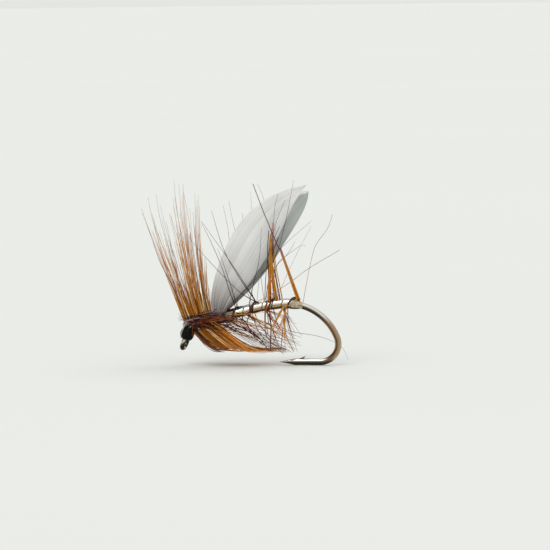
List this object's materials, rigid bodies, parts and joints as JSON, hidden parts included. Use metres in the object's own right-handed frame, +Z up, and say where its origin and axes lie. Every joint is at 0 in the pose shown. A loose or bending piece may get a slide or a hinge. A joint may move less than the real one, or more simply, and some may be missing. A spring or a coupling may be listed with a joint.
{
  "type": "dry fly",
  "caption": "Dry fly with a pair of upright grey feather wings, ginger collar and body hackles, silver tinsel body and a down-eyed hook.",
  "frame": {"origin": "centre of the hook's eye", "axes": "+X from the eye back towards the hook's bend, +Z up as the fly stands, -Y the fly's left side"},
  "size_m": [0.0182, 0.0152, 0.017],
  "materials": {
    "nickel_wire": "bright plated steel wire, slightly warm",
    "silver_tinsel": "flat metal tinsel, wound and lightly creased",
    "tan_thread": "fine waxed thread",
    "black_thread": "fine waxed thread",
    "clear_varnish": "gloss head varnish",
    "wing_quill": "grey duck quill slip, satin, parallel barbs",
    "hackle_quill": "dark brown feather stem, satin",
    "ginger_hackle": "ginger cock hackle barbs, glossy",
    "brown_hackle": "dark ginger to brown hackle barbs, glossy"
  },
  "bodies": {
    "root": {"collar_barbs_left": "ginger_hackle", "collar_barbs_lower": "ginger_hackle", "collar_barbs_right": "ginger_hackle", "collar_barbs_upper": "ginger_hackle", "collar_stem": "hackle_quill", "foundation_thread": "tan_thread", "head_thread": "black_thread", "head_varnish": "clear_varnish", "hook": "nickel_wire", "left_wing": "wing_quill", "palmer_barbs_turn_1": "brown_hackle", "palmer_barbs_turn_2": "brown_hackle", "palmer_barbs_turn_3": "brown_hackle", "palmer_barbs_turn_4": "brown_hackle", "palmer_stem": "hackle_quill", "rear_tie_thread": "tan_thread", "right_wing": "wing_quill", "tinsel_body": "silver_tinsel", "wing_tie_thread": "black_thread"}
  },
  "joints": []
}
